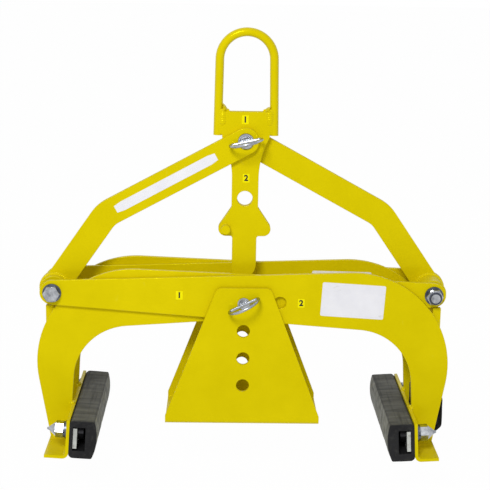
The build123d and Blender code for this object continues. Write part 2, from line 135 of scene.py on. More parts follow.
# A mix of two colours, each a value or a socket
def mixColours(tree, factor, first, second):
    node = addNode(tree, "ShaderNodeMix", {"data_type": "RGBA"})
    for index, value in ((0, factor), (6, first), (7, second)):  # its colours are sockets 6 and 7
        if isinstance(value, bpy.types.NodeSocket):
            tree.links.new(value, node.inputs[index])
        else:
            node.inputs[index].default_value = value
    return node.outputs[2]


# Bump on the shader's Normal from a height: its strength, and its depth in metres
def addBump(tree, shader, height, strength, depth):
    bump = addNode(tree, "ShaderNodeBump", values={"Strength": strength, "Distance": depth})
    tree.links.new(height, bump.inputs["Height"])
    tree.links.new(bump.outputs["Normal"], shader.inputs["Normal"])


# A material with its node tree and its shader
def newMaterial(name):
    material = bpy.data.materials.new(name)
    material.use_nodes = True
    tree = material.node_tree
    return material, tree, tree.nodes["Principled BSDF"]


# Two tints blended by a soft noise on Object coordinates, so a large face is never one flat colour
mottle, mottleIn, mottleOut = newGroup("mottle", [
    ("Light", "NodeSocketColor", (1, 1, 1, 1)), ("Dark", "NodeSocketColor", (0, 0, 0, 1)),
    ("Scale", "NodeSocketFloat", 12.0)], [("Color", "NodeSocketColor")])
place = addNode(mottle, "ShaderNodeTexCoord")
noise = addNode(mottle, "ShaderNodeTexNoise", values={"Detail": 4.0, "Roughness": 0.6})
spread = addNode(mottle, "ShaderNodeMapRange", values={"From Min": 0.32, "From Max": 0.68})
blended = mixColours(mottle, spread.outputs["Result"], mottleIn.outputs["Dark"], mottleIn.outputs["Light"])
mottle.links.new(place.outputs["Object"], noise.inputs["Vector"])
mottle.links.new(mottleIn.outputs["Scale"], noise.inputs["Scale"])
mottle.links.new(noise.outputs["Fac"], spread.inputs["Value"])
mottle.links.new(blended, mottleOut.inputs["Color"])

# Fine grain of a finish: a height for bump, and a roughness that wanders between two values
grain, grainIn, grainOut = newGroup("grain", [
    ("Scale", "NodeSocketFloat", 600.0), ("Smooth", "NodeSocketFloat", 0.25),
    ("Rough", "NodeSocketFloat", 0.4)], [("Height", "NodeSocketFloat"), ("Roughness", "NodeSocketFloat")])
place = addNode(grain, "ShaderNodeTexCoord")
noise = addNode(grain, "ShaderNodeTexNoise", values={"Detail": 2.0, "Roughness": 0.45})
patches = addNode(grain, "ShaderNodeTexNoise", values={"Scale": 22.0, "Detail": 5.0, "Roughness": 0.65})
wander = addNode(grain, "ShaderNodeMapRange", values={"From Min": 0.3, "From Max": 0.7})
grain.links.new(place.outputs["Object"], noise.inputs["Vector"])
grain.links.new(place.outputs["Object"], patches.inputs["Vector"])
grain.links.new(grainIn.outputs["Scale"], noise.inputs["Scale"])
grain.links.new(patches.outputs["Fac"], wander.inputs["Value"])
grain.links.new(grainIn.outputs["Smooth"], wander.inputs["To Min"])
grain.links.new(grainIn.outputs["Rough"], wander.inputs["To Max"])
grain.links.new(noise.outputs["Fac"], grainOut.inputs["Height"])
grain.links.new(wander.outputs["Result"], grainOut.inputs["Roughness"])

# Dust that settles on faces that look up, broken by noise
dust, dustIn, dustOut = newGroup("dust", [
    ("Scale", "NodeSocketFloat", 40.0), ("Amount", "NodeSocketFloat", 0.3)], [("Mask", "NodeSocketFloat")])
place = addNode(dust, "ShaderNodeTexCoord")
facing = addNode(dust, "ShaderNodeNewGeometry")
parts = addNode(dust, "ShaderNodeSeparateXYZ")
upward = addNode(dust, "ShaderNodeMapRange", values={"From Min": 0.35, "From Max": 0.95})
noise = addNode(dust, "ShaderNodeTexNoise", values={"Detail": 6.0, "Roughness": 0.7})
broken = addNode(dust, "ShaderNodeMapRange", values={"From Min": 0.35, "From Max": 0.72})
both = addNode(dust, "ShaderNodeMath", {"operation": "MULTIPLY"})
share = addNode(dust, "ShaderNodeMath", {"operation": "MULTIPLY"})
dust.links.new(place.outputs["Object"], noise.inputs["Vector"])
dust.links.new(dustIn.outputs["Scale"], noise.inputs["Scale"])
dust.links.new(facing.outputs["Normal"], parts.inputs["Vector"])
dust.links.new(parts.outputs["Z"], upward.inputs["Value"])
dust.links.new(noise.outputs["Fac"], broken.inputs["Value"])
dust.links.new(upward.outputs["Result"], both.inputs[0])
dust.links.new(broken.outputs["Result"], both.inputs[1])
dust.links.new(both.outputs["Value"], share.inputs[0])
dust.links.new(dustIn.outputs["Amount"], share.inputs[1])
dust.links.new(share.outputs["Value"], dustOut.inputs["Mask"])

# Scuffs: noise drawn out along one direction and cut off high, so only thin streaks are left
scuffs, scuffsIn, scuffsOut = newGroup("scuffs", [
    ("Stretch", "NodeSocketVector", (1, 1, 1)), ("Scale", "NodeSocketFloat", 60.0),
    ("From", "NodeSocketFloat", 0.58), ("To", "NodeSocketFloat", 0.72)], [("Mask", "NodeSocketFloat")])
place = addNode(scuffs, "ShaderNodeTexCoord")
stretch = addNode(scuffs, "ShaderNodeVectorMath", {"operation": "MULTIPLY"})
noise = addNode(scuffs, "ShaderNodeTexNoise", values={"Detail": 5.0, "Roughness": 0.62})
cut = addNode(scuffs, "ShaderNodeMapRange")
scuffs.links.new(place.outputs["Object"], stretch.inputs[0])
scuffs.links.new(scuffsIn.outputs["Stretch"], stretch.inputs[1])
scuffs.links.new(stretch.outputs["Vector"], noise.inputs["Vector"])
scuffs.links.new(scuffsIn.outputs["Scale"], noise.inputs["Scale"])
scuffs.links.new(noise.outputs["Fac"], cut.inputs["Value"])
scuffs.links.new(scuffsIn.outputs["From"], cut.inputs["From Min"])
scuffs.links.new(scuffsIn.outputs["To"], cut.inputs["From Max"])
scuffs.links.new(cut.outputs["Result"], scuffsOut.inputs["Mask"])

# Yellow powder coat: warm mottle, pale rubs and a little site dust, over an orange-peel skin that scatters
# what it mirrors edge-on
paintLook = {"tint": {"Light": (0.72, 0.592, 0.002, 1), "Dark": (0.66, 0.54, 0.001, 1), "Scale": 14.0},
             "rubs": {"Stretch": (1.0, 1.0, 0.5), "Scale": 85.0, "From": 0.68, "To": 0.95},
             "dust": {"Scale": 55.0, "Amount": 0.1}, "skin": {"Scale": 420.0, "Smooth": 0.12, "Rough": 0.2},
             "rubTint": (0.76, 0.65, 0.05, 1), "dustTint": (0.60, 0.53, 0.18, 1),
             "gloss": (1.0, 0.88, 0.02, 1), "edgeOn": {"From Min": 0.55, "From Max": 0.95},
             "edgeOnRough": 0.75, "bump": (0.007, 0.0006)}
yellowPaint, tree, shader = newMaterial("yellowPaint")
tint = useGroup(tree, mottle, paintLook["tint"])
rubs = useGroup(tree, scuffs, paintLook["rubs"])
settled = useGroup(tree, dust, paintLook["dust"])
skin = useGroup(tree, grain, paintLook["skin"])
rubbed = mixColours(tree, rubs.outputs["Mask"], tint.outputs["Color"], paintLook["rubTint"])
dusted = mixColours(tree, settled.outputs["Mask"], rubbed, paintLook["dustTint"])
angle = addNode(tree, "ShaderNodeLayerWeight")
edgeOn = addNode(tree, "ShaderNodeMapRange", values=paintLook["edgeOn"])
dulled = addNode(tree, "ShaderNodeMix", values={3: paintLook["edgeOnRough"]})  # it mixes sockets 2 and 3
tree.links.new(angle.outputs["Facing"], edgeOn.inputs["Value"])
tree.links.new(edgeOn.outputs["Result"], dulled.inputs[0])
tree.links.new(skin.outputs["Roughness"], dulled.inputs[2])
tree.links.new(dulled.outputs[0], shader.inputs["Roughness"])
tree.links.new(dusted, shader.inputs["Base Color"])
addBump(tree, shader, skin.outputs["Height"], *paintLook["bump"])
shader.inputs["Specular Tint"].default_value = paintLook["gloss"]

# Black rubber: near black inside, greyed by block dust where the piece's rub attribute says it is handled
rubberLook = {"tint": {"Light": (0.016, 0.016, 0.017, 1), "Dark": (0.008, 0.008, 0.009, 1), "Scale": 45.0},
              "patches": {"Stretch": (0.16, 1.0, 0.6), "Scale": 95.0, "From": 0.34, "To": 0.62},
              "streaks": {"Stretch": (1.0, 0.05, 1.0), "Scale": 170.0, "From": 0.52, "To": 0.68},
              "skin": {"Scale": 500.0, "Smooth": 0.58, "Rough": 0.85}, "chalk": (0.262, 0.268, 0.243, 1),
              "chalkLeast": 0.35, "smear": (0.030, 0.030, 0.028, 1), "smearShare": 0.75,
              "bump": (0.35, 0.0006), "specular": 0.2}
blackRubber, tree, shader = newMaterial("blackRubber")
tint = useGroup(tree, mottle, rubberLook["tint"])
handled = addNode(tree, "ShaderNodeAttribute", {"attribute_name": "rub"})
patches = useGroup(tree, scuffs, rubberLook["patches"])
streaks = useGroup(tree, scuffs, rubberLook["streaks"])
skin = useGroup(tree, grain, rubberLook["skin"])
worn = addNode(tree, "ShaderNodeMapRange", values={"To Min": rubberLook["chalkLeast"]})
chalked = addNode(tree, "ShaderNodeMath", {"operation": "MULTIPLY"})
smeared = addNode(tree, "ShaderNodeMath", {"operation": "MULTIPLY"}, {1: rubberLook["smearShare"]})
tree.links.new(patches.outputs["Mask"], worn.inputs["Value"])
tree.links.new(handled.outputs["Fac"], chalked.inputs[0])
tree.links.new(worn.outputs["Result"], chalked.inputs[1])
tree.links.new(streaks.outputs["Mask"], smeared.inputs[0])
dusted = mixColours(tree, chalked.outputs["Value"], tint.outputs["Color"], rubberLook["chalk"])
streaked = mixColours(tree, smeared.outputs["Value"], dusted, rubberLook["smear"])
tree.links.new(streaked, shader.inputs["Base Color"])
tree.links.new(skin.outputs["Roughness"], shader.inputs["Roughness"])
addBump(tree, shader, skin.outputs["Height"], *rubberLook["bump"])
shader.inputs["Specular IOR Level"].default_value = rubberLook["specular"]


# A plainer finish: cloudy patches of two tints under fine marks, with streaks where the look has them
def mottledFinish(name, look):
    material, tree, shader = newMaterial(name)
    colour = useGroup(tree, mottle, look["tint"]).outputs["Color"]
    skin = useGroup(tree, grain, look["skin"])
    if "streaks" in look:
        streaks = useGroup(tree, scuffs, look["streaks"])
        colour = mixColours(tree, streaks.outputs["Mask"], colour, look["streakTint"])
    tree.links.new(colour, shader.inputs["Base Color"])
    tree.links.new(skin.outputs["Roughness"], shader.inputs["Roughness"])
    if "bump" in look:
        addBump(tree, shader, skin.outputs["Height"], *look["bump"])
    for label, value in look.get("shader", {}).items():
        shader.inputs[label].default_value = value
    return material


# Plated steels: bright zinc, the wire of the pull rings, dull washers, and pad bolts made near black as
# painted shade for the deep slots they sit in
zincLook = {"tint": {"Light": (0.52, 0.54, 0.57, 1), "Dark": (0.21, 0.22, 0.24, 1), "Scale": 150.0},
            "skin": {"Scale": 700.0, "Smooth": 0.14, "Rough": 0.3}, "bump": (0.05, 0.0003),
            "shader": {"Metallic": 1.0}}
wireLook = {"tint": {"Light": (0.48, 0.50, 0.54, 1), "Dark": (0.24, 0.26, 0.30, 1), "Scale": 110.0},
            "skin": {"Scale": 700.0, "Smooth": 0.14, "Rough": 0.3}, "bump": (0.03, 0.0003),
            "shader": {"Metallic": 1.0}}
washerLook = {"tint": {"Light": (0.15, 0.165, 0.20, 1), "Dark": (0.07, 0.08, 0.10, 1), "Scale": 180.0},
              "skin": {"Scale": 900.0, "Smooth": 0.24, "Rough": 0.44}, "bump": (0.12, 0.0003),
              "shader": {"Metallic": 1.0}}
# Pad bolts: a near-black finish that paints the shade inside the pads' slots onto the bolts
padBoltShadeLook = {"tint": {"Light": (0.022, 0.022, 0.024, 1), "Dark": (0.010, 0.010, 0.011, 1), "Scale": 150.0},
             "skin": {"Scale": 900.0, "Smooth": 0.35, "Rough": 0.55}, "bump": (0.12, 0.0003),
             "shader": {"Metallic": 1.0}}
zincSteel = mottledFinish("zincSteel", zincLook)
ringWire = mottledFinish("ringWire", wireLook)
washerSteel = mottledFinish("washerSteel", washerLook)
padBoltShadeSteel = mottledFinish("padBoltShadeSteel", padBoltShadeLook)

# Flat strip behind the pads' slots: rolled steel, streaked along its length
stripLook = {"tint": {"Light": (0.60, 0.62, 0.58, 1), "Dark": (0.36, 0.37, 0.35, 1), "Scale": 70.0},
             "streaks": {"Stretch": (1.0, 0.06, 1.0), "Scale": 240.0, "From": 0.55, "To": 0.75},
             "streakTint": (0.25, 0.22, 0.17, 1), "skin": {"Scale": 800.0, "Smooth": 0.3, "Rough": 0.5},
             "bump": (0.15, 0.0003), "shader": {"Metallic": 0.9}}
stripSteel = mottledFinish("stripSteel", stripLook)

# Label films and their ink: bare white vinyl, and a brighter yellow for the small setting labels
whiteLook = {"tint": {"Light": (0.86, 0.86, 0.90, 1), "Dark": (0.78, 0.78, 0.83, 1), "Scale": 30.0},
             "streaks": {"Stretch": (0.5, 1.0, 1.0), "Scale": 130.0, "From": 0.64, "To": 0.85},
             "streakTint": (0.55, 0.53, 0.42, 1), "skin": {"Scale": 300.0, "Smooth": 0.3, "Rough": 0.45},
             "bump": (0.05, 0.0002)}
settingLook = {"tint": {"Light": (0.93, 0.85, 0.002, 1), "Dark": (0.88, 0.80, 0.002, 1), "Scale": 60.0},
               "skin": {"Scale": 300.0, "Smooth": 0.3, "Rough": 0.45}, "bump": (0.05, 0.0002),
               "shader": {"Specular Tint": (1.0, 0.88, 0.05, 1)}}
inkLook = {"tint": {"Light": (0.03, 0.028, 0.02, 1), "Dark": (0.015, 0.014, 0.01, 1), "Scale": 200.0},
           "skin": {"Scale": 300.0, "Smooth": 0.4, "Rough": 0.55}, "shader": {"Specular IOR Level": 0.2}}
whiteVinyl = mottledFinish("whiteVinyl", whiteLook)
settingVinyl = mottledFinish("settingVinyl", settingLook)
printInk = mottledFinish("printInk", inkLook)

# Nylon of the lock nuts
nylonLook = {"tint": {"Light": (0.05, 0.06, 0.09, 1), "Dark": (0.025, 0.03, 0.05, 1), "Scale": 300.0},
             "skin": {"Scale": 600.0, "Smooth": 0.4, "Rough": 0.6}}
lockNylon = mottledFinish("lockNylon", nylonLook)

# Every carried-over piece takes the finish of its slot in the record, apart from those that have their own
finishes = {"yellow_paint": yellowPaint, "zinc_steel": zincSteel, "ring_wire": ringWire,
            "strip_steel": stripSteel, "black_rubber": blackRubber}
# The pad bolts take the near-black finish, which paints the shade of the pads' slots
ownFinishes = {"_washers": washerSteel, "_pin": ringWire, "_pad_bolts": padBoltShadeSteel}
for entry in frame["record"]["subparts"]:
    finish = finishes[entry["material_slot"]]
    for ending, ownFinish in ownFinishes.items():
        if entry["node"].endswith(ending):
            finish = ownFinish
    nodes[entry["node"]].data.materials.clear()
    nodes[entry["node"]].data.materials.append(finish)
print("finishes set")

# Places and slopes shared by the added pieces, in millimetres
pinHeight = 194.2
padEdge = 192.8
jawTilt = math.radians(3.5)
slant = math.sqrt(0.5)  # sine and cosine of 45 degrees


# The lowest and highest corner of a node's box, in millimetres
def nodeBox(name):
    return [np.array(corner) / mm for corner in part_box(name)]


# Directions brought to length one
def unit(vector):
    return vector / np.linalg.norm(vector, axis=-1, keepdims=True)


# A place on a jaw from the distance out from the block, the place along the jaw and the height up the pad;
# the left jaw is the right one turned half a turn about Z
def jawPoint(side, out, along, up):
    x = padEdge + out * math.cos(jawTilt) - up * math.sin(jawTilt)
    z = out * math.sin(jawTilt) + up * math.cos(jawTilt)
    x, along, z = np.broadcast_arrays(x, along, z)
    return np.stack([side * x, side * along, z], -1)


# A direction on a jaw, given the same way as a place
def jawDirection(side, out, along, up):
    return jawPoint(side, out, along, up) - jawPoint(side, 0.0, 0.0, 0.0)


# Even directions right round, as points of a unit circle
def evenDirections(steps):
    turn = np.linspace(0, 2 * np.pi, steps, endpoint=False)
    return np.stack([np.cos(turn), np.sin(turn)], -1)


# Directions at given angles round an axis along Y
def spokes(angle):
    return np.stack([np.cos(angle), np.zeros_like(angle), np.sin(angle)], -1)


# Directions along and across a slope on an upright face, given in degrees
def slopeWays(degrees):
    angle = math.radians(degrees)
    return spokes(np.array(angle)), spokes(np.array(angle + math.pi / 2))


# Distance from a centre to a line, along each direction; one that turns away from the line never meets it
def toLine(direction, normal, distance, grazing=1e-4, never=1e6):
    facing = direction @ np.asarray(normal)
    return np.where(facing > grazing, distance / np.maximum(facing, grazing), never)


# Distances from a centre to the four sides of a rectangle round it
def toBox(direction, halfWide, halfHigh):
    normals = {(1, 0): halfWide, (-1, 0): halfWide, (0, 1): halfHigh, (0, -1): halfHigh}
    return [toLine(direction, normal, distance) for normal, distance in normals.items()]


# Distance from a centre to a circle that holds it, along each direction
def toCircle(direction, away, radius):
    along = direction @ np.asarray(away)
    return along + np.sqrt(along ** 2 + radius ** 2 - np.dot(away, away))


# The nearest of several distances, with the corners between them rounded off
def nearest(distances, sharpness):
    inverse = np.stack([1.0 / distance for distance in distances])
    peak = inverse.max(0)
    return 1.0 / (peak * ((inverse / peak) ** sharpness).sum(0) ** (1.0 / sharpness))


# A bell curve: an amount at no distance, which falls away over a reach
def fallOff(distance, amount, reach):
    return amount * np.exp(-(distance / reach) ** 2)


# Grip pads: the section and its slot, the rounded ends, and the wave of the worn grip, in millimetres
padShape = {"back": 29.55, "height": 50.5, "crown": 5.9, "crownUp": 29.0, "topIn": 2.1, "bevel": 3.5,
            "slotIn": 9.0, "slotBack": 24.8, "slotLow": 10.0, "slotHigh": 41.5, "sharpness": 46.0,
            "steps": 240, "half": 100.0, "rows": 58, "edge": 1.0, "edgeRows": 5, "wave": 0.25,
            "waveStart": 0.8, "waveTurns": (0.061, 0.173), "gripGain": 1.6, "gripFrom": 0.35,
            "gripPower": 0.6, "sharpAngle": 50.0}
# Block dust on a pad: how much a side holds and how far in it reaches; the corner and the ends lose it
padDust = {"top": (0.46, 2.2), "grip": (1.0, 1.6), "gripDepth": 3.0, "back": (0.25, 1.2),
           "corner": (0.85, 1.3), "ends": 1.5}


# Circle through the pad's lower edge, its crown and its upper edge
def crownCircle(shape):
    points = np.array([[0.0, 0.0], [-shape["crown"], shape["crownUp"]], [-shape["topIn"], shape["height"]]])
    matrix = np.column_stack([2 * points, np.ones(3)])
    solved = np.linalg.solve(matrix, (points ** 2).sum(1))
    centre = solved[:2]
    return centre, math.sqrt(solved[2] + centre @ centre)


# The pad's outline and its slot's, as distances from the slot's middle
def padSection(shape):
    direction = evenDirections(shape["steps"])
    slotLow = np.array([shape["slotIn"], shape["slotLow"]])
    slotHigh = np.array([shape["slotBack"], shape["slotHigh"]])
    middle = (slotLow + slotHigh) / 2
    toBack = shape["back"] - middle[0]
    toUpper = shape["height"] - middle[1]
    toLower = middle[1]
    centre, radius = crownCircle(shape)
    outside = nearest([
        toLine(direction, (1, 0), toBack), toLine(direction, (0, 1), toUpper),
        toLine(direction, (0, -1), toLower),
        toLine(direction, (slant, slant), (toBack + toUpper - shape["bevel"]) * slant),
        toLine(direction, (slant, -slant), (toBack + toLower - shape["bevel"]) * slant),
        toCircle(direction, centre - middle, radius)], shape["sharpness"])
    inside = nearest(toBox(direction, *(slotHigh - slotLow) / 2), shape["sharpness"])
    return direction, middle, outside, inside


# Rows of a pad's grid: along the outside, over one end to the slot's edge, back through the slot and over the
# other end. Each has its place along the jaw, what the ends' rounding takes off the outline, and whether it
# is outside
def padRows(shape):
    half = shape["half"]
    bend = np.linspace(0, np.pi / 2, shape["edgeRows"])
    fromEnd = shape["edge"] * (1 - np.sin(bend))
    takenOff = shape["edge"] * (1 - np.cos(bend))
    run = np.linspace(-half + shape["edge"], half - shape["edge"], shape["rows"] + 2)[1:-1]
    level = np.zeros(shape["rows"])
    along = np.concatenate([run, half - fromEnd, half - fromEnd[::-1], run[::-1], fromEnd - half,
                            fromEnd[::-1] - half])
    inset = np.concatenate([level, takenOff, -takenOff[::-1], level, -takenOff, takenOff[::-1]])
    lengths = [len(run) + len(bend), len(run) + 2 * len(bend), len(bend)]
    return along, inset, np.repeat([True, False, True], lengths)


# Dust that each point of a pad holds: the most of what top, grip and back give it
def padRub(out, along, up, shape, holds):
    centre, radius = crownCircle(shape)
    fromGrip = radius - np.hypot(out - centre[0], up - centre[1])
    onTop = fallOff(shape["height"] - up, *holds["top"])
    onGrip = fallOff(fromGrip, *holds["grip"]) * (out < holds["gripDepth"])
    onBack = fallOff(shape["back"] - out, *holds["back"])
    onCorner = fallOff(np.hypot(out + shape["topIn"], up - shape["height"]), *holds["corner"])
    fromEnd = np.clip((shape["half"] - np.abs(along)) / holds["ends"], 0, 1)
    return np.maximum.reduce([onTop, onGrip, onBack]) * fromEnd * (1 - onCorner)


# A pad is its section carried along the jaw as one closed grid, with two slow waves worn into the grip
def gripPad(side, shape, holds):
    direction, middle, outside, inside = padSection(shape)
    along, inset, outer = (row[:, None] for row in padRows(shape))
    longWave, shortWave = shape["waveTurns"]
    wave = np.sin(along * longWave + shape["waveStart"]) * np.sin(along * shortWave)
    grip = np.clip(-direction[:, 0] * shape["gripGain"] - shape["gripFrom"], 0, 1) ** shape["gripPower"]
    reach = np.where(outer, outside, inside) - inset - outer * grip * shape["wave"] * (1 + wave)
    out = middle[0] + reach * direction[:, 0]
    up = middle[1] + reach * direction[:, 1]
    return jawPoint(side, out, along, up), padRub(out, along, up, shape, holds) * outer


for sideName, side in sides.items():
    points, rub = gripPad(side, padShape, padDust)
    pad = addPiece(f"{sideName}RubberPad", [closedShell(points, closedRows=True)], f"{sideName}_arm_body",
                   blackRubber, padShape["sharpAngle"], {"rub": rub})
    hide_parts(f"{sideName}_grip_pad")
print("grip pads made")

# Bumper behind the right jaw, in millimetres
bumperShape = {"steps": 120, "rows": 68, "round": 9.0, "sharpness": 30.0, "groove": 4.0, "grooveRows": 8,
               "capRows": 4, "capReach": 0.9, "dent": 0.5, "dentTurn": 0.31, "dentSway": 3.0}


# A block whose outline is a rectangle with two corners cut and all rounded. Each end is closed at its middle,
# with a bevelled groove inside its rim, and the sides have shallow dents that wind round them
def bumperPoints(low, high, shape):
    direction = evenDirections(shape["steps"])
    middle = (low + high) / 2
    halfX, halfY, halfZ = (high - low) / 2
    cut = (halfX + halfZ - shape["round"]) * slant
    cuts = [toLine(direction, (slant, -slant), cut), toLine(direction, (slant, slant), cut)]
    outline = nearest(toBox(direction, halfX, halfZ) + cuts, shape["sharpness"])
    groove = shape["groove"] * (1 - np.sin(np.linspace(0, np.pi / 2, shape["grooveRows"])))
    run = np.linspace(-halfY + shape["groove"], halfY - shape["groove"], shape["rows"] + 2)[1:-1]
    cap = np.linspace(0, shape["capReach"], shape["capRows"])
    capInset = np.full(len(cap), shape["groove"])
    atEnd = np.full(len(cap), halfY)
    along = np.concatenate([-atEnd, groove - halfY, run, halfY - groove[::-1], atEnd])[:, None]
    inset = np.concatenate([capInset, groove, np.zeros(len(run)), groove[::-1], capInset])[:, None]
    share = np.concatenate([cap, np.ones(len(run) + 2 * len(groove)), cap[::-1]])[:, None]
    dent = shape["dent"] * (1 + np.sin(along * shape["dentTurn"] + shape["dentSway"] * direction[:, 1])) / 2
    reach = (outline - inset - dent) * share
    x, y, z = np.broadcast_arrays(reach * direction[:, 0], along, reach * direction[:, 1])
    return middle + np.stack([x, y, z], -1)


bumper = addPiece("jawBumper", [closedShell(bumperPoints(*nodeBox("right_jaw_bumper"), bumperShape))],
                  "right_arm_body", blackRubber)
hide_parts("right_jaw_bumper")
print("bumper made")

# Weld beads: ripples, slow lumps and the points round a section, in millimetres
beadLook = {"pitch": 2.4, "ripple": 0.07, "bow": 1.2, "lump": 0.08, "lumpTurns": (0.47, 0.19),
            "lumpStart": 1.0, "section": 20}


# A bead along a path: at each place its height off the metal falls away from the middle to gentle toes, as
# the cube of a sine, on both sides of the seam. Ripples swell it once every pitch and bow back at its middle,
# slow lumps vary it, and open ends round off over their own width
def weldBead(path, side, face, width, height, closed=False, look=beadLook):
    steps = np.linalg.norm(np.diff(path, axis=0), axis=1)
    run = np.concatenate([[0.0], np.cumsum(steps)])[:, None]
    section = np.linspace(0, 2 * np.pi, look["section"], endpoint=False)[None, :]
    wave = np.sin(2 * np.pi * (run + look["bow"] * np.sin(section)) / look["pitch"])
    shortLump, longLump = look["lumpTurns"]
    lump = np.sin(run * shortLump + path[0].sum()) * np.sin(run * longLump + look["lumpStart"])
    swell = 1 + look["ripple"] * wave + look["lump"] * lump
    if not closed:
        fromEnd = np.clip(np.minimum(run, run[-1] - run) / width, 0, 1)
        swell = swell * np.sqrt(np.clip(1 - (1 - fromEnd) ** 2, 0, 1))
    across = np.broadcast_to(side, path.shape)[:, None, :]
    off = np.broadcast_to(face, path.shape)[:, None, :]
    points = (path[:, None, :] + across * (width * swell * np.cos(section))[..., None]
              + off * (height * swell * np.sin(section) ** 3)[..., None])
    return closedShell(points, closedRows=closed)


# A bead in the corner of two faces, given by the directions they look in, standing out midway between them
def cornerBead(path, first, second, width, height, closed=False):
    return weldBead(path, unit(first - second), unit(first + second), width, height, closed)


# Points evenly spaced along a straight seam
def seam(start, end, spacing=0.4, fewest=8):
    start, end = np.asarray(start, float), np.asarray(end, float)
    count = max(fewest, int(np.linalg.norm(end - start) / spacing))
    return start + (end - start) * np.linspace(0, 1, count)[:, None]


# Ring feet to the spine's head, front and rear: a wide flat bead down each leg, which the links swing past, a
# higher bead above them, and a fill in the head's top corners, laid in passes that widen to the slant of leg
# and head
ringWelds = {"legAt": 36.29, "footRise": 211.3, "lean": 1.0, "barRadius": 5.5, "headTop": 241.8, "over": 4.0,
             "beads": ({"start": 0.6, "aside": 1.6, "width": 9.6, "height": 1.0},
                       {"start": 12.0, "aside": 0.4, "width": 6.4, "height": 2.3}), "depth": 5.0,
             "fillIn": 6.2, "fillUp": {right: 5.5, left: 9.6}, "passes": (0.35, 0.7, 1.0), "spread": 0.62,
             "fillHigh": 1.7, "fillDepth": 8.0}


# The head's edge beside a leg that leans inwards, at a height above the centre pin
def headEdge(side, rise, weld):
    drift = (rise - weld["footRise"]) * math.tan(math.radians(weld["lean"]))
    return side * (weld["legAt"] - drift - weld["barRadius"])


headTop = ringWelds["headTop"]
shells = []
for side in sides.values():
    for face in (front, rear):
        for bead in ringWelds["beads"]:
            rises = (ringWelds["footRise"] + bead["start"], headTop + ringWelds["over"])
            ends = [(headEdge(side, rise, ringWelds) - side * bead["aside"], face * ringWelds["depth"],
                     pinHeight + rise) for rise in rises]
            shells.append(weldBead(seam(*ends), toRight, face * toRear, bead["width"], bead["height"]))
    corner = np.array([headEdge(side, headTop, ringWelds), 0.0, pinHeight + headTop])
    inwards = -side * ringWelds["fillIn"] * toRight
    upwards = ringWelds["fillUp"][side] * toTop
    fillSlant = upwards - inwards
    outwards = unit(inwards / (inwards @ inwards) + upwards / (upwards @ upwards))
    depthwise = ringWelds["fillDepth"] * toRear
    for reach in ringWelds["passes"]:
        middle = corner + (inwards + upwards) / 2 * reach
        width = ringWelds["spread"] * reach * np.linalg.norm(fillSlant)
        path = seam(middle - depthwise, middle + depthwise)
        shells.append(weldBead(path, unit(fillSlant), outwards, width, ringWelds["fillHigh"]))
addPiece("ringFootWelds", shells, "spine_body", yellowPaint)

# Pull rings to the pins' front ends: a short bead on each side of the ring's bar
pinWelds = {"pins": {"centre": {"tilt": 26.3, "radius": 8.0}, "top": {"tilt": 12.8, "radius": 10.0}},
            "reach": 0.72, "aside": 1.6, "proud": 0.5, "width": 2.0, "height": 1.1}
for pinName, pin in pinWelds["pins"].items():
    low, high = nodeBox(f"{pinName}_pin")
    faceMiddle = np.array([0.0, low[1] - pinWelds["proud"], (low[2] + high[2]) / 2])
    barWay, barSide = slopeWays(pin["tilt"])
    half = barWay * pin["radius"] * pinWelds["reach"]
    shells = []
    for away in (barSide, -barSide):
        edge = faceMiddle + pinWelds["aside"] * away
        shells.append(cornerBead(seam(edge - half, edge + half), away, toFront, pinWelds["width"],
                                 pinWelds["height"]))
    addPiece(f"{pinName}RingWelds", shells, f"{pinName}_pin_body", zincSteel)

# Links to their tubes: a bead right round the tube on each face of the link's eye, which starts at the bottom
tubeWelds = {"radius": 17.6, "width": 3.3, "height": 2.6, "steps": 260,
             "faces": {"left": (-14.35, -6.35), "right": (6.35, 14.35)}}
for sideName, depths in tubeWelds["faces"].items():
    low, high = nodeBox(f"{sideName}_link_tube")
    middle = (low + high) / 2 * (toRight + toTop)
    radial = spokes(np.linspace(-np.pi / 2, 1.5 * np.pi, tubeWelds["steps"], endpoint=False))
    shells = []
    for depth, face in zip(depths, (front, rear)):
        path = middle + radial * tubeWelds["radius"] + depth * toRear
        shells.append(cornerBead(path, radial, face * toRear, tubeWelds["width"], tubeWelds["height"],
                                 closed=True))
    addPiece(f"{sideName}TubeWelds", shells, f"{sideName}_link_body", yellowPaint)

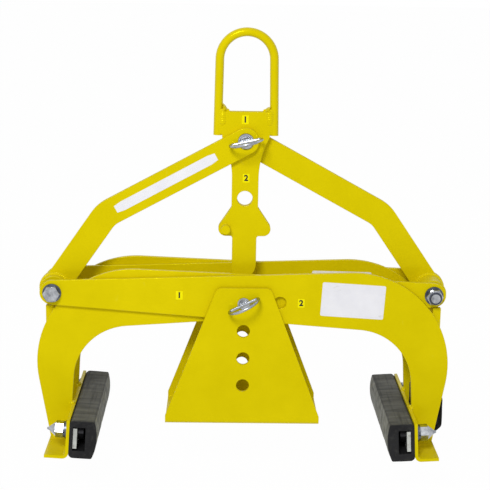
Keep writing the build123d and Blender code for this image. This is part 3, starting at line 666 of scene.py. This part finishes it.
# Arm plates to the jaw angles: up the leg and along the flange, on both faces of each plate, and across the
# leg's top; and the tie plates to the arm plates, on their inner sides
jawWelds = {"plates": ((-43.0, -37.0), (30.0, 36.0)), "sink": 0.2, "legOut": 33.6, "legFrom": 7.0,
            "legTo": 49.0, "flangeUp": 2.3, "flangeFrom": 38.0, "flangeTo": 58.0, "width": 3.4, "height": 2.2,
            "legTop": 50.3, "topOver": 2.0, "topWidth": 4.6, "topHeight": 3.4}
tieWelds = {"inner": 246.5, "low": 149.0, "high": 182.0, "width": 2.8, "height": 1.8}
for sideName, side in sides.items():
    outward = jawDirection(side, 1.0, 0.0, 0.0)
    upward = jawDirection(side, 0.0, 0.0, 1.0)
    shells = []
    for plateFront, plateRear in jawWelds["plates"]:
        for plateFace, face in ((plateFront, front), (plateRear, rear)):
            sideways = jawDirection(side, 0.0, face, 0.0)
            along = plateFace + face * jawWelds["sink"]
            path = seam(jawPoint(side, jawWelds["legOut"], along, jawWelds["legFrom"]),
                        jawPoint(side, jawWelds["legOut"], along, jawWelds["legTo"]))
            shells.append(cornerBead(path, outward, sideways, jawWelds["width"], jawWelds["height"]))
            path = seam(jawPoint(side, jawWelds["flangeFrom"], along, jawWelds["flangeUp"]),
                        jawPoint(side, jawWelds["flangeTo"], along, jawWelds["flangeUp"]))
            shells.append(cornerBead(path, upward, sideways, jawWelds["width"], jawWelds["height"]))
        path = seam(jawPoint(side, jawWelds["legOut"], plateFront - jawWelds["topOver"], jawWelds["legTop"]),
                    jawPoint(side, jawWelds["legOut"], plateRear + jawWelds["topOver"], jawWelds["legTop"]))
        shells.append(cornerBead(path, upward, -outward, jawWelds["topWidth"], jawWelds["topHeight"]))
    for along, face in ((jawWelds["plates"][0][1], rear), (jawWelds["plates"][1][0], front)):
        path = seam((side * tieWelds["inner"], side * along, tieWelds["low"]),
                    (side * tieWelds["inner"], side * along, tieWelds["high"]))
        shells.append(cornerBead(path, side * face * toRear, -side * toRight, tieWelds["width"],
                                 tieWelds["height"]))
    addPiece(f"{sideName}JawWelds", shells, f"{sideName}_arm_body", yellowPaint)

# Link stops to the spine: a small bead round each peg's root
stopWelds = {"radius": 6.0, "width": 1.1, "height": 0.8, "face": 6.0, "steps": 120}
shells = []
for name, face in (("front_link_stop", front), ("rear_link_stop", rear)):
    low, high = nodeBox(name)
    middle = (low + high) / 2 * (toRight + toTop)
    radial = spokes(np.linspace(0, 2 * np.pi, stopWelds["steps"], endpoint=False))
    path = middle + radial * stopWelds["radius"] + face * stopWelds["face"] * toRear
    shells.append(cornerBead(path, radial, face * toRear, stopWelds["width"], stopWelds["height"],
                             closed=True))
addPiece("stopWelds", shells, "spine_body", yellowPaint)
print("welds made")

# Lock nuts and bolt ends: the nylon ring in each nut's crown, and the thread that stands out of it
lockShape = {"bolt": 6.0, "outer": 8.5, "proud": 0.6, "steps": 72, "section": 16}
threadShape = {"bolt": 6.0, "pitch": 1.75, "turns": 0.9, "start": 0.1, "steps": 110, "crest": 0.28,
               "crestWide": 0.6}
threadLook = dict(beadLook, ripple=0.0, lump=0.0, bow=0.0)


# A ring whose oval section is carried once round the bolt's axis
def nylonRing(centre, face, shape):
    radial = spokes(np.linspace(0, 2 * np.pi, shape["steps"], endpoint=False))[:, None, :]
    across, off = evenDirections(shape["section"]).T[..., None]
    radius = (shape["outer"] + shape["bolt"]) / 2 + (shape["outer"] - shape["bolt"]) / 2 * across
    return closedShell(centre + radial * radius + face * shape["proud"] * off * toRear, closedRows=True)


# A thread crest: a small bead without ripples, carried along a helix round the bolt
def threadCrest(centre, face, shape):
    turn = np.linspace(0, 2 * np.pi * shape["turns"], shape["steps"])
    radial = spokes(turn)
    climb = shape["start"] + shape["pitch"] * turn / (2 * np.pi)
    path = centre + radial * shape["bolt"] + face * climb[:, None] * toRear
    return weldBead(path, face * toRear, radial, shape["crestWide"], shape["crest"], look=threadLook)


for sideName, face, body in (("right", front, "left_arm_body"), ("left", rear, "right_arm_body")):
    low, high = nodeBox(f"{sideName}_pivot_nut")
    centre = (low + high) / 2
    centre[1] = low[1] if face == front else high[1]
    addPiece(f"{sideName}LockRing", [nylonRing(centre, face, lockShape)], body, lockNylon)
    addPiece(f"{sideName}BoltThread", [threadCrest(centre, face, threadShape)], body, zincSteel)
print("lock rings and threads made")

# Labels: a profile from the middle of the face over the edge to the middle of the back, as a share of the
# outline, an inset in millimetres and a lift in thicknesses; and the figures printed on them
labelLook = {"thick": 0.25, "corner": 40.0, "steps": 192,
             "profile": ((0.0, 0.0, 1.0), (0.4, 0.0, 1.0), (0.8, 0.0, 1.0), (1.0, 0.15, 1.0), (1.0, 0.0, 0.0),
                         (0.5, 0.0, -0.1), (0.0, 0.0, -0.1))}
figureLook = {"size": 10.64, "bold": 0.42, "thick": 0.04}


# A label lying on an upright face that looks to the front, given by its middle, its slope in degrees and its
# size. Its outline is a rectangle with rounded corners: the powers of both distances add up to one
def addLabel(name, label, material, look=labelLook):
    along, across = slopeWays(label["slope"])
    centre = np.array([label["x"], label["depth"], pinHeight + label["rise"]])
    direction = evenDirections(look["steps"])
    halves = np.array([label["long"], label["wide"]]) / 2
    outline = ((np.abs(direction) / halves) ** look["corner"]).sum(-1) ** (-1 / look["corner"])
    share, inset, lift = np.array(look["profile"]).T[..., None]
    reach = ((outline - inset) * share)[..., None]
    points = (centre + reach * (direction[:, :1] * along + direction[:, 1:] * across)
              + (look["thick"] * lift)[..., None] * toFront)
    addPiece(name, [closedShell(points)], label["body"], material)


# A printed figure: text made into a mesh, then stood upright on its label
def addFigure(name, label, look=figureLook):
    curve = bpy.data.curves.new(name, "FONT")
    curve.body = label["words"]
    curve.size = look["size"] * mm
    curve.offset = look["bold"] * mm
    curve.align_x = "CENTER"
    curve.align_y = "CENTER"
    curve.extrude = look["thick"] * mm
    draft = bpy.data.objects.new(name, curve)
    bpy.context.scene.collection.objects.link(draft)
    bpy.context.view_layer.update()
    mesh = bpy.data.meshes.new_from_object(draft)
    bpy.data.objects.remove(draft)
    middle = Vector((label["x"], label["depth"] - labelLook["thick"], pinHeight + label["rise"]))
    mesh.transform(Matrix.Translation(middle * mm) @ Matrix.Rotation(math.radians(90), 4, "X"))
    placePiece(name, mesh, label["body"], printInk)


settingSize = {"slope": 0.0, "long": 8.8, "wide": 11.4}
settingLabels = {
    "headSetting": {"words": "1", "x": -1.2, "depth": -6.0, "rise": 231.8, "body": "spine_body"},
    "waistSetting": {"words": "2", "x": 1.1, "depth": -6.0, "rise": 156.1, "body": "spine_body"},
    "leftArmSetting": {"words": "1", "x": -83.1, "depth": -43.0, "rise": 8.7, "body": "right_arm_body"},
    "rightArmSetting": {"words": "2", "x": 74.2, "depth": -43.0, "rise": -0.1, "body": "right_arm_body"}}
bareLabels = {
    "linkStripLabel": {"x": -102.1, "depth": -14.35, "rise": 149.8, "slope": 28.7, "long": 147.0,
                       "wide": 12.5, "body": "left_link_body"},
    "armPlateLabel": {"x": 141.1, "depth": -43.0, "rise": 3.8, "slope": -3.2, "long": 82.0, "wide": 45.0,
                      "body": "right_arm_body"},
    "rearPlateLabel": {"x": 132.2, "depth": 30.0, "rise": 2.1, "slope": -1.0, "long": 80.0, "wide": 45.0,
                       "body": "right_arm_body"}}
for name, label in settingLabels.items():
    addLabel(f"{name}Label", {**settingSize, **label}, settingVinyl)
    addFigure(f"{name}Figure", label)
for name, label in bareLabels.items():
    addLabel(name, label, whiteVinyl)
print("labels made")


# Whether a ray comes from the camera, a mirror or a glass: the highest of the three answers
def seenRay(tree):
    ray = addNode(tree, "ShaderNodeLightPath")
    direct = addNode(tree, "ShaderNodeMath", {"operation": "MAXIMUM"})
    anyRay = addNode(tree, "ShaderNodeMath", {"operation": "MAXIMUM"})
    tree.links.new(ray.outputs["Is Camera Ray"], direct.inputs[0])
    tree.links.new(ray.outputs["Is Glossy Ray"], direct.inputs[1])
    tree.links.new(direct.outputs["Value"], anyRay.inputs[0])
    tree.links.new(ray.outputs["Is Transmission Ray"], anyRay.inputs[1])
    return anyRay.outputs["Value"]


# Stage: a wide pale floor that looks white but keeps a soft shadow, below even the closed jaws, in metres
floorLook = {"half": 16.0, "drop": 0.055, "tint": (0.9, 0.9, 0.9, 1), "rough": 0.9, "white": 0.985}
corners = floorLook["half"] * np.array([[-1, -1], [1, -1], [1, 1], [-1, 1]])
floorMesh = bpy.data.meshes.new("floor")
floorMesh.from_pydata(np.insert(corners, 2, -floorLook["drop"], 1).tolist(), [], [(0, 1, 2, 3)])
floor = bpy.data.objects.new("floor", floorMesh)
bpy.context.scene.collection.objects.link(floor)
floorPaint, tree, shader = newMaterial("floorPaint")
shader.inputs["Base Color"].default_value = floorLook["tint"]
shader.inputs["Roughness"].default_value = floorLook["rough"]
glow = addNode(tree, "ShaderNodeEmission")
share = addNode(tree, "ShaderNodeMath", {"operation": "MULTIPLY"}, {1: floorLook["white"]})
blend = addNode(tree, "ShaderNodeMixShader")
tree.links.new(seenRay(tree), share.inputs[0])
tree.links.new(share.outputs["Value"], blend.inputs["Fac"])
tree.links.new(shader.outputs["BSDF"], blend.inputs[1])
tree.links.new(glow.outputs["Emission"], blend.inputs[2])
tree.links.new(blend.outputs["Shader"], tree.nodes["Material Output"].inputs["Surface"])
floorPaint.cycles.emission_sampling = "NONE"  # its white is for what looks at it, it lights nothing
floorMesh.materials.append(floorPaint)

# World: white where it is seen, a plain grey fill where it lights
worldLook = {"fill": 0.42, "seen": 1.0}
world = bpy.data.worlds.new("studio")
bpy.context.scene.world = world
world.use_nodes = True
tree = world.node_tree
background = tree.nodes["Background"]
background.inputs["Color"].default_value = (1, 1, 1, 1)
level = addNode(tree, "ShaderNodeMapRange", values={"To Min": worldLook["fill"], "To Max": worldLook["seen"]})
tree.links.new(seenRay(tree), level.inputs["Value"])
tree.links.new(level.outputs["Result"], background.inputs["Strength"])

# One soft square lamp, up on the left and aimed at the middle of the tongs, in metres and watts
lampLook = {"place": (-0.45, -1.95, 1.65), "aim": (0.0, 0.0, 0.25), "size": 0.6, "power": 33.0}
lamp = bpy.data.lights.new("keyLamp", "AREA")
lamp.size = lampLook["size"]
lamp.energy = lampLook["power"]
keyLamp = bpy.data.objects.new("keyLamp", lamp)
keyLamp.location = lampLook["place"]
keyLamp.rotation_euler = (Vector(lampLook["aim"]) - keyLamp.location).to_track_quat("-Z", "Y").to_euler()
bpy.context.scene.collection.objects.link(keyLamp)

# Camera at the photograph's place, in metres: pitch down, yaw to the right and a small roll, in degrees
cameraLook = {"place": (-0.0313, -1.6194, 0.6345), "pitch": 13.0, "yaw": 1.15, "roll": 0.969, "lens": 93.18,
              "sensor": 36.0}
view = Matrix.Translation(cameraLook["place"])
for degrees, axis in ((-cameraLook["yaw"], "Z"), (90 - cameraLook["pitch"], "X"), (cameraLook["roll"], "Z")):
    view = view @ Matrix.Rotation(math.radians(degrees), 4, axis)
lens = bpy.data.cameras.new("camera")
lens.lens = cameraLook["lens"]
lens.sensor_width = cameraLook["sensor"]
camera = bpy.data.objects.new("camera", lens)
camera.matrix_world = view
bpy.context.scene.collection.objects.link(camera)
bpy.context.scene.camera = camera
bpy.context.scene.view_settings.view_transform = "Standard"
print("stage, lamp and camera set")
